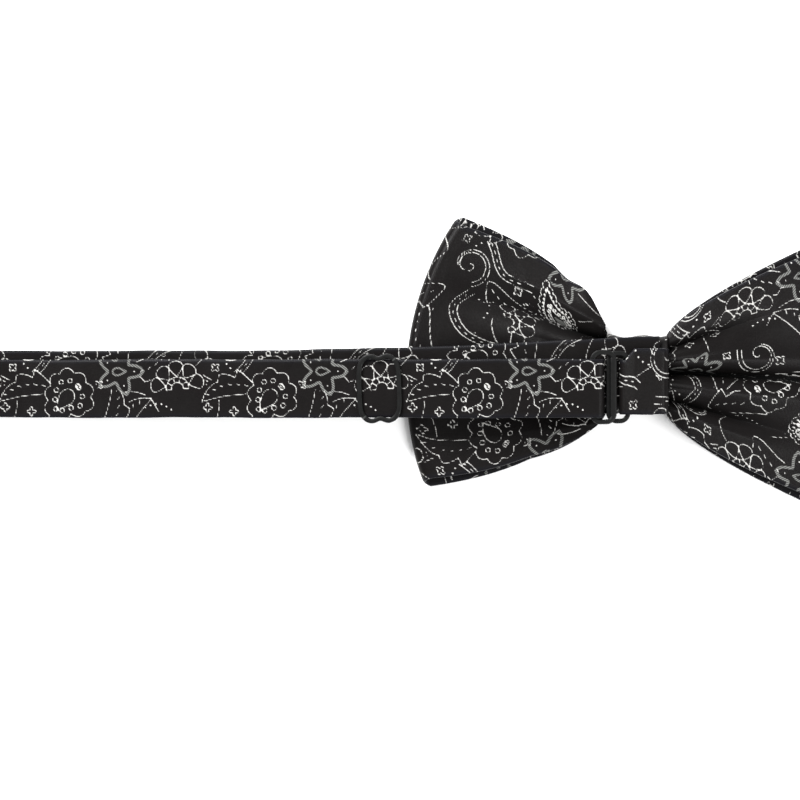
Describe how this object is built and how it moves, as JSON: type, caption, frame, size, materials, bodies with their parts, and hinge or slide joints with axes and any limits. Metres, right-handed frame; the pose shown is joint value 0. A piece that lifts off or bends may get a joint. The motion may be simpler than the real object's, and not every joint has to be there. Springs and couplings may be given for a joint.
{
  "type": "pre-tied bow tie",
  "caption": "Pre-tied bow tie with gathered wings, a wrapped knot and an adjustable neck band that closes with a hook and eye, lying face down.",
  "frame": {"origin": "under the middle of the knot, on the plane that the bow's front rests on", "axes": "+X along the bow towards the wing that the band doesn't cover, +Y across the bow, +Z from the bow's front to its back"},
  "size_m": [0.2795, 0.0773, 0.0177],
  "materials": {
    "satin": "black satin jacquard with a fine silver-grey paisley line pattern",
    "interlining": "matt woven interlining",
    "thread": "black polyester thread",
    "enamel": "black enamel, semi-gloss"
  },
  "bodies": {
    "bow": {"wing_left_front": "satin", "wing_left_interlining": "interlining", "wing_left_back": "satin", "wing_left_edge_fold": "satin", "wing_right_front": "satin", "wing_right_interlining": "interlining", "wing_right_back": "satin", "wing_right_edge_fold": "satin", "knot_wrap": "satin", "knot_lining": "interlining", "waist_binding": "thread", "waist_gathers": "satin", "band_lower": "satin", "band_fold": "satin", "tab": "satin", "tab_bar_tack": "thread", "eye": "enamel"},
    "strap": {"band_upper": "satin", "band_hook_loop": "satin", "band_return": "satin", "hook": "enamel"},
    "adjuster": {"adjuster_anchor": "satin", "adjuster_bar_tack": "thread", "slider": "enamel"}
  },
  "joints": [
    {"name": "strap_open", "type": "hinge", "parent": "bow", "child": "strap", "pos_m": [-0.217, -0.0024, 0.0025], "axis": [0, -1, 0], "range_deg": [0, 165], "deforming": ["band_fold"]},
    {"name": "adjuster_slide", "type": "slide", "parent": "strap", "child": "adjuster", "axis": [0.9942, 0, 0.1073], "range_m": [-0.045, 0.036], "deforming": ["band_return"]}
  ]
}
